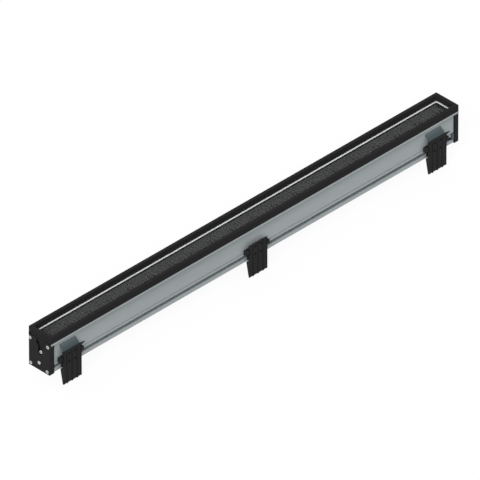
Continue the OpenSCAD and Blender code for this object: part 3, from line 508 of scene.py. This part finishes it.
# %% [markdown]
# ## Geometry Nodes: one tree runs, many copies come out
# What repeats is grown by a tree: its sizes are inputs, so a change is one number. The result is
# turned into a plain mesh, because a file for other programs has no instances.

# %% Geometry Nodes helpers


def new_tree(name, inputs, takes_geometry=False):
    """An empty tree with named inputs, and the group input's sockets."""
    tree = bpy.data.node_groups.new(name, "GeometryNodeTree")
    if takes_geometry:
        tree.interface.new_socket("Places", in_out="INPUT", socket_type="NodeSocketGeometry")
    for label, kind in inputs.items():
        tree.interface.new_socket(label, in_out="INPUT", socket_type="NodeSocket" + kind)
    tree.interface.new_socket("Geometry", in_out="OUTPUT", socket_type="NodeSocketGeometry")
    return tree, tree.nodes.new("NodeGroupInput").outputs


def end_tree(tree, geometry, finish):
    """Realize Instances and Set Material close every tree."""
    real = put(tree, "GeometryNodeRealizeInstances", {"Geometry": geometry}).outputs[0]
    painted = put(tree, "GeometryNodeSetMaterial", {"Geometry": real, "Material": finish}).outputs[0]
    put(tree, "NodeGroupOutput", {"Geometry": painted})


def grow(name, tree, values, places=()):
    """Runs a tree on a mesh of places and returns the result as a plain mesh object."""
    spots = bpy.data.meshes.new(name + "_places")
    spots.from_pydata([Vector(p) * MM for p in places], [], [])
    host = bpy.data.objects.new(name + "_host", spots)
    scene.collection.objects.link(host)
    modifier = host.modifiers.new("grow", "NODES")
    modifier.node_group = tree
    for item in tree.interface.items_tree:
        if item.in_out == "INPUT" and item.name in values:
            modifier[item.identifier] = values[item.name]
    graph = bpy.context.evaluated_depsgraph_get()
    mesh = bpy.data.meshes.new_from_object(host.evaluated_get(graph))
    bpy.data.objects.remove(host)
    mesh.name = name
    piece = bpy.data.objects.new(name, mesh)
    scene.collection.objects.link(piece)
    print(name, "has", len(mesh.polygons), "faces")
    return piece


# %% [markdown]
# ## Turned pieces
# Screws, lenses and the cable gland are turned on a lathe: a profile of (radius, height) goes
# round an axis. A loop may also be a hexagon with the same number of points as the round ones,
# so a round screw head flows into its hexagon socket without a cut.

# %% Lathe with round and hexagon loops
SIDES = 24


def turned(name, profile, sides=SIDES, lobes=0, lobe_depth=0.0, closed=False):
    """A turned piece. A profile row is (radius, height) or (radius, height, 'hex')."""
    loops = []
    for row in profile:
        loop = []
        for i in range(sides):
            angle = 2 * math.pi * i / sides
            radius = row[0]
            if len(row) > 2:
                radius *= math.cos(math.pi / 6) / math.cos(angle % (math.pi / 3) - math.pi / 6)
            elif lobes and radius > 0.8 * max(r[0] for r in profile):
                radius -= lobe_depth * max(0.0, math.cos(lobes * angle)) ** 3
            loop.append((radius * math.cos(angle), radius * math.sin(angle), row[1]))
        loops.append(loop)
    return new_piece(name, bridge_loops(loops, closed))


def screw_pattern(name, head_r, head_h, shank_r, length, socket_r):
    """A cap screw that stands on its head's underside, with a rounded head and a hexagon socket."""
    ease = 0.25 * head_h
    return turned(name, [
        (0.5 * shank_r, -length), (shank_r, 0.5 * shank_r - length), (shank_r, 0.0), (head_r, 0.0),
        (head_r, head_h - ease), (head_r - 0.3 * ease, head_h - 0.3 * ease), (head_r - ease, head_h),
        (socket_r * 1.25, head_h), (socket_r, head_h - 0.3 * ease, "hex"), (socket_r, 0.45 * head_h, "hex"),
        (0.3 * socket_r, 0.35 * head_h),
    ])


# %% [markdown]
# ## Leaves and their bars
# A leaf is a thin sheet of spring steel, cut a little askew, with its corners taken off. It is
# drawn flat as an outline, given its thickness, and then leaned from its bar against the wall.
# The bar turns in the lever's bead, and ends in a spike that starts thicker than the bar.

# %% Leaf sheets and spiked bars
BAR_Y, BAR_Z, BAR_HALF = -31.45, 35.0, 21.85
LEAF_FOOT, LEAF_TOP, LEAF_T = -0.6, 17.5, 0.6
FOOT_LEFT, FOOT_RIGHT, FOOT_CORNER = -20.2, 19.6, 0.2
TOP_LEFT, TOP_RIGHT, TOP_CORNER = -22.9, 14.2, 1.2
WALL_GAP, TOUCH_HEIGHT = 6.3, 16.6
LEAN = math.atan2(WALL_GAP, TOUCH_HEIGHT)

leaf_outline = eased([
    (FOOT_LEFT, LEAF_FOOT, FOOT_CORNER), (FOOT_RIGHT, LEAF_FOOT, FOOT_CORNER),
    (TOP_RIGHT, LEAF_TOP, TOP_CORNER), (TOP_LEFT, LEAF_TOP, TOP_CORNER),
])
spiked_bar = [
    (0.9, -BAR_HALF), (1.2, 0.3 - BAR_HALF), (1.2, BAR_HALF), (1.9, BAR_HALF), (2.0, BAR_HALF + 0.4),
    (0.6, BAR_HALF + 9.2), (0.25, BAR_HALF + 9.8),
]
for side in ("left", "right"):
    lever_low, lever_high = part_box(f"clip_lever_{side}")
    at_bar = Matrix.Translation(Vector(((lever_low.x + lever_high.x) / 2, BAR_Y * MM, BAR_Z * MM)))
    sheet = new_piece(f"sheet_{side}", bridge_loops(
        [[(p.x, y, p.y) for p in leaf_outline] for y in (-LEAF_T / 2, LEAF_T / 2)], closed=False))
    sheet.data.transform(at_bar @ Matrix.Rotation(-LEAN, 4, "X"))
    dress(sheet, f"leaf_{side}")
    bar = turned(f"bar_{side}", spiked_bar, sides=16)
    bar.data.transform(at_bar @ Matrix.Rotation(math.pi / 2, 4, "Y"))
    dress(bar, f"leaf_bar_{side}")
print("leaves lean by", round(math.degrees(LEAN), 1), "degrees")

# %% [markdown]
# ## Screws
# Screws are never all turned to the same angle, so each copy gets a random turn about its own
# axis, from a fixed seed. The pattern screw is first pointed along its direction, and the tree
# then sets a copy on each place.

# %% Screw tree and all screws
screw_tree, given = new_tree(
    "screws at places", {"Screw": "Object", "Axis": "Vector", "Seed": "Int", "Finish": "Material"},
    takes_geometry=True,
)
angle = put(screw_tree, "FunctionNodeRandomValue", {2: 0.0, 3: math.tau, "Seed": given["Seed"]},
            data_type="FLOAT").outputs[1]
turn = put(screw_tree, "FunctionNodeAxisAngleToRotation", {"Axis": given["Axis"], "Angle": angle}).outputs[0]
one_screw = put(screw_tree, "GeometryNodeObjectInfo", {"Object": given["Screw"]}).outputs["Geometry"]
copies = put(screw_tree, "GeometryNodeInstanceOnPoints",
             {"Points": given["Places"], "Instance": one_screw, "Rotation": turn}).outputs[0]
end_tree(screw_tree, copies, given["Finish"])


def set_screws(name, nodes, sizes, axis, places, seed):
    """Grows the screws of some nodes at their places and dresses them."""
    pattern_screw = screw_pattern("pattern_screw", *sizes)
    pattern_screw.data.transform(Vector(axis).to_track_quat("Z", "X").to_matrix().to_4x4())
    piece = grow(name, screw_tree, {
        "Screw": pattern_screw, "Axis": axis, "Seed": seed, "Finish": finishes["screw_steel"],
    }, places)
    bpy.data.objects.remove(pattern_screw)
    return dress(piece, *nodes)


# A screw's sizes are its head's radius and height, its shank's radius and length, and its socket's radius.
CAP_SCREW = (3.3, 2.2, 1.6, 22.0, 1.5)
KEYHOLE_SCREW = (3.3, 2.2, 1.6, 6.0, 1.5)
EARTH_SCREW = (3.3, 1.1, 1.6, 6.0, 1.5)
CAP_OUT, HEAD_SUNK, RECESS_DEPTH = 502.2, 1.6, 3.0
UPPER_Y, UPPER_Z, LOWER_Y, LOWER_Z = 21.5, 56.3, 20.1, 3.8
KEYHOLE_Y, KEYHOLE_Z, EARTH_Y, EARTH_Z = -3.35, 36.8, -0.85, 14.0
corner_places = ((UPPER_Y, UPPER_Z), (-UPPER_Y, UPPER_Z), (LOWER_Y, LOWER_Z), (-LOWER_Y, LOWER_Z))
for side, sign in (("left", -1), ("right", 1)):
    set_screws(f"corner_screws_{side}", [f"cap_screws_{side}"], CAP_SCREW, (sign, 0, 0),
               [(sign * (CAP_OUT - HEAD_SUNK), y, z) for y, z in corner_places], seed=3)
set_screws("keyhole_screw", ["recess_screw"], KEYHOLE_SCREW, (-1, 0, 0),
           [(-(CAP_OUT - RECESS_DEPTH), KEYHOLE_Y, KEYHOLE_Z)], seed=5)
for side, sign in (("left", -1), ("right", 1)):
    set_screws(f"earth_screw_{side}", ["earth_screws"], EARTH_SCREW, (sign, 0, 0),
               [(sign * CAP_OUT, EARTH_Y, EARTH_Z)], seed=7)

# %% [markdown]
# ## Lenses, light sources and the glare plate
# Twenty lenses stand in a row at one pitch, and each has a small yellow light source under it.
# One tree makes both rows. The plate round the lenses carries thin fins across the window, which
# stop at a collar round each lens. A rule says how far a fin may reach: at distance d from the
# nearest cell's middle, a circle of radius R leaves free what lies beyond sqrt(R * R - d * d).

# %% Row tree, lenses and light sources
LENS_COUNT, LIGHT_LENGTH, END_TO_LENS = 20, 1000.0, 21.5
LENS_PITCH = (LIGHT_LENGTH - 2 * END_TO_LENS) / (LENS_COUNT - 1)

row_tree, given = new_tree(
    "row along the light",
    {"Piece": "Object", "Count": "Int", "Pitch": "Float", "Height": "Float", "Finish": "Material"},
)
first = math_node(row_tree, "MULTIPLY", math_node(row_tree, "SUBTRACT", given["Count"], 1.0), given["Pitch"])
start = put(row_tree, "ShaderNodeCombineXYZ",
            {"X": math_node(row_tree, "MULTIPLY", first, -0.5), "Z": given["Height"]}).outputs[0]
step = put(row_tree, "ShaderNodeCombineXYZ", {"X": given["Pitch"]}).outputs[0]
line = put(row_tree, "GeometryNodeMeshLine",
           {"Count": given["Count"], "Start Location": start, "Offset": step}).outputs[0]
piece_in = put(row_tree, "GeometryNodeObjectInfo", {"Object": given["Piece"]}).outputs["Geometry"]
copies = put(row_tree, "GeometryNodeInstanceOnPoints", {"Points": line, "Instance": piece_in}).outputs[0]
end_tree(row_tree, copies, given["Finish"])


def row_of(name, node, pattern_piece, height):
    """A row of copies of one piece, one under each place of the lens row."""
    piece = grow(name, row_tree, {
        "Piece": pattern_piece, "Count": LENS_COUNT, "Pitch": LENS_PITCH * MM, "Height": height * MM,
        "Finish": finishes[slot_of[node]],
    })
    bpy.data.objects.remove(pattern_piece)
    return dress(piece, node)


BOARD_TOP = 43.1
lens_profile = [
    (3.0, 3.6), (3.0, 0.0), (4.6, 0.0), (9.3, 7.4), (9.8, 8.0), (9.8, 9.3), (9.55, 9.65), (8.9, 9.75),
    (8.6, 9.60), (8.2, 9.75), (6.4, 10.10), (6.1, 9.95), (5.7, 10.18), (3.4, 10.38), (3.1, 10.25),
    (2.7, 10.43), (0.6, 10.5),
]
row_of("lens_row", "lenses", turned("pattern_lens", lens_profile), BOARD_TOP)
led_profile = [(2.3, 0.0), (2.3, 0.6), (2.1, 0.7), (1.4, 0.7), (1.3, 1.2), (0.9, 1.75), (0.3, 2.08)]
row_of("led_row", "leds", turned("pattern_led", led_profile, sides=16), BOARD_TOP)

# %% Glare plate tree
CELL_R, COLLAR_T = 10.1, 1.0
FINS_PER_LENS, FIN_T, FIN_H, FIN_HALF = 6, 1.3, 4.6, 17.6
FIN_COUNT = FINS_PER_LENS * (LENS_COUNT - 1) + 3
PLATE_TOP, PLATE_T, PLATE_END, PLATE_HALF = 53.5, 1.3, 489.9, 22.55

plate_tree, given = new_tree("glare plate", {
    "Cells": "Int", "Cell pitch": "Float", "Cell radius": "Float", "Collar": "Object", "Fin": "Object",
    "Fins": "Int", "Fin pitch": "Float", "Half width": "Float", "Plate end": "Float",
    "Plate half": "Float", "Top": "Float", "Thickness": "Float", "Finish": "Material",
})


def centred_line(tree, count, pitch, height):
    """Points in a row along X, with the middle of the row at X = 0."""
    span = math_node(tree, "MULTIPLY", math_node(tree, "SUBTRACT", count, 1.0), pitch)
    begin = put(tree, "ShaderNodeCombineXYZ", {"X": math_node(tree, "MULTIPLY", span, -0.5), "Z": height})
    offset = put(tree, "ShaderNodeCombineXYZ", {"X": pitch})
    return put(tree, "GeometryNodeMeshLine",
               {"Count": count, "Start Location": begin.outputs[0], "Offset": offset.outputs[0]}).outputs[0]


fin_line = centred_line(plate_tree, given["Fins"], given["Fin pitch"], given["Top"])
here = put(plate_tree, "ShaderNodeSeparateXYZ",
           {0: put(plate_tree, "GeometryNodeInputPosition").outputs[0]}).outputs[0]
turns = math_node(plate_tree, "DIVIDE", here, given["Cell pitch"])
away = math_node(plate_tree, "SUBTRACT", math_node(plate_tree, "FRACT", turns), 0.5)
away = math_node(plate_tree, "MULTIPLY", away, given["Cell pitch"])
room = math_node(plate_tree, "SUBTRACT", math_node(plate_tree, "POWER", given["Cell radius"], 2.0),
                 math_node(plate_tree, "MULTIPLY", away, away))
gap = math_node(plate_tree, "SQRT", math_node(plate_tree, "MAXIMUM", room, 0.0))
crossing = math_node(plate_tree, "COMPARE", gap, 0.0)
split = math_node(plate_tree, "SUBTRACT", 1.0, crossing)
fin = put(plate_tree, "GeometryNodeObjectInfo", {"Object": given["Fin"]}).outputs["Geometry"]
full_width = put(plate_tree, "ShaderNodeCombineXYZ",
                 {"X": 1.0, "Y": math_node(plate_tree, "MULTIPLY", given["Half width"], 2.0), "Z": 1.0})
parts = [put(plate_tree, "GeometryNodeInstanceOnPoints",
             {"Points": fin_line, "Selection": crossing, "Instance": fin,
              "Scale": full_width.outputs[0]}).outputs[0]]
half_width = put(plate_tree, "ShaderNodeCombineXYZ",
                 {"X": 1.0, "Y": math_node(plate_tree, "SUBTRACT", given["Half width"], gap), "Z": 1.0})
middle = math_node(plate_tree, "MULTIPLY", math_node(plate_tree, "ADD", given["Half width"], gap), 0.5)
for sign in (-1.0, 1.0):
    aside = put(plate_tree, "ShaderNodeCombineXYZ", {"Y": math_node(plate_tree, "MULTIPLY", middle, sign)})
    moved = put(plate_tree, "GeometryNodeSetPosition", {"Geometry": fin_line, "Offset": aside.outputs[0]})
    parts.append(put(plate_tree, "GeometryNodeInstanceOnPoints",
                     {"Points": moved.outputs[0], "Selection": split, "Instance": fin,
                      "Scale": half_width.outputs[0]}).outputs[0])
cell_line = centred_line(plate_tree, given["Cells"], given["Cell pitch"], given["Top"])
collar = put(plate_tree, "GeometryNodeObjectInfo", {"Object": given["Collar"]}).outputs["Geometry"]
parts.append(put(plate_tree, "GeometryNodeInstanceOnPoints",
                 {"Points": cell_line, "Instance": collar}).outputs[0])
outline = put(plate_tree, "GeometryNodeCurvePrimitiveQuadrilateral",
              {"Width": math_node(plate_tree, "MULTIPLY", given["Plate end"], 2.0),
               "Height": math_node(plate_tree, "MULTIPLY", given["Plate half"], 2.0)}).outputs[0]
flat_line = centred_line(plate_tree, given["Cells"], given["Cell pitch"], 0.0)
circle = put(plate_tree, "GeometryNodeCurvePrimitiveCircle",
             {"Resolution": 32, "Radius": given["Cell radius"]}).outputs[0]
holes = put(plate_tree, "GeometryNodeInstanceOnPoints", {"Points": flat_line, "Instance": circle})
holes = put(plate_tree, "GeometryNodeRealizeInstances", {"Geometry": holes.outputs[0]}).outputs[0]
curves = plate_tree.nodes.new("GeometryNodeJoinGeometry")
for source in (outline, holes):
    plate_tree.links.new(source, curves.inputs[0])
sheet = put(plate_tree, "GeometryNodeFillCurve", {"Curve": curves.outputs[0]}).outputs[0]
down = put(plate_tree, "ShaderNodeCombineXYZ",
           {"Z": math_node(plate_tree, "SUBTRACT", given["Top"], given["Thickness"])})
bottom = put(plate_tree, "GeometryNodeSetPosition", {"Geometry": sheet, "Offset": down.outputs[0]}).outputs[0]
upwards = put(plate_tree, "ShaderNodeCombineXYZ", {"Z": given["Thickness"]})
raised = put(plate_tree, "GeometryNodeExtrudeMesh",
             {"Mesh": bottom, "Offset": upwards.outputs[0], "Individual": False}).outputs[0]
underside = put(plate_tree, "GeometryNodeFlipFaces", {"Mesh": bottom}).outputs[0]
plate_join = plate_tree.nodes.new("GeometryNodeJoinGeometry")
for source in (raised, underside):
    plate_tree.links.new(source, plate_join.inputs[0])
parts.append(put(plate_tree, "GeometryNodeMergeByDistance",
                 {"Geometry": plate_join.outputs[0], "Distance": 1e-6}).outputs[0])
everything = plate_tree.nodes.new("GeometryNodeJoinGeometry")
for source in parts:
    plate_tree.links.new(source, everything.inputs[0])
end_tree(plate_tree, everything.outputs[0], given["Finish"])

# %% Fin and collar patterns, and the plate itself
TIP_SHARE, TOP_EASE = 0.35, 0.3
fin_outline = eased([
    (-FIN_T / 2, 0.0, 0.0), (FIN_T / 2, 0.0, 0.0),
    (TIP_SHARE * FIN_T, FIN_H, TOP_EASE), (-TIP_SHARE * FIN_T, FIN_H, TOP_EASE),
])
one_fin = new_piece("pattern_fin", bridge_loops(
    [[(p.x, y, p.y) for p in fin_outline] for y in (-0.5 / MM, 0.5 / MM)], closed=False))
one_collar = turned("pattern_collar", [(p.x, p.y) for p in eased([
    (CELL_R, 0.0, 0.0), (CELL_R + COLLAR_T, 0.0, 0.0), (CELL_R + COLLAR_T, FIN_H, TOP_EASE),
    (CELL_R, FIN_H, TOP_EASE)])], sides=32, closed=True)
glare_plate = grow("glare_screen", plate_tree, {
    "Cells": LENS_COUNT, "Cell pitch": LENS_PITCH * MM, "Cell radius": (CELL_R + COLLAR_T / 2) * MM,
    "Collar": one_collar, "Fin": one_fin, "Fins": FIN_COUNT, "Fin pitch": LENS_PITCH / FINS_PER_LENS * MM,
    "Half width": FIN_HALF * MM, "Plate end": PLATE_END * MM, "Plate half": PLATE_HALF * MM,
    "Top": PLATE_TOP * MM, "Thickness": PLATE_T * MM, "Finish": finishes["glare_plastic"],
})
bpy.data.objects.remove(one_fin)
bpy.data.objects.remove(one_collar)
dress(glare_plate, "glare_plate")

# %% [markdown]
# ## The cable gland
# The dome nut is gripped by hand, so its skin has shallow hollows all round. It is turned with a
# radius that dips ten times on the way round, and then laid down along the light.

# %% Gland nut
GLAND_Z = (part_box("gland_nut")[0].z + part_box("gland_nut")[1].z) / 2 / MM
nut_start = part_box("gland_nut")[0].x / MM
nut_profile = [(p.x, p.y) for p in eased([
    (7.1, 0.0, 0.0), (9.0, 0.0, 0.3), (9.0, 5.1, 0.5), (5.6, 8.0, 0.4), (4.0, 8.0, 0.2), (4.0, 5.1, 0.0),
    (7.1, 5.1, 0.0)])]
gland_nut = turned("dome_nut", nut_profile, sides=60, lobes=10, lobe_depth=0.5, closed=True)
lay_down = Matrix.Translation(Vector((nut_start, 0, GLAND_Z)) * MM) @ Matrix.Rotation(math.pi / 2, 4, "Y")
gland_nut.data.transform(lay_down)
dress(gland_nut, "gland_nut")
print("gland axis at", round(GLAND_Z, 2), "mm")

# %% [markdown]
# ## Finishes for the solids that stay
# Long extrusions, boards and wires keep their CAD shape, which is already right. Each one gets
# the finish that its slot in the record names. The strip under the rim is bright along its sides;
# its end faces, between the black rim and the black cap, get the black rim finish as painted shade.

# %% Finishes on the CAD nodes
for name, node in frame["nodes"].items():
    node.data.materials.clear()
    node.data.materials.append(finishes[slot_of[name]])
strip = frame["nodes"]["cover_carrier"].data
# The end faces take the black rim finish as painted shade, for the shadow gap between rim and cap.
strip.materials.append(finishes["black_frame"])
for face in strip.polygons:
    face.material_index = int(abs(face.normal.x) > 0.9)
print("CAD nodes that show:", sum(not n.hide_render for n in frame["nodes"].values()))
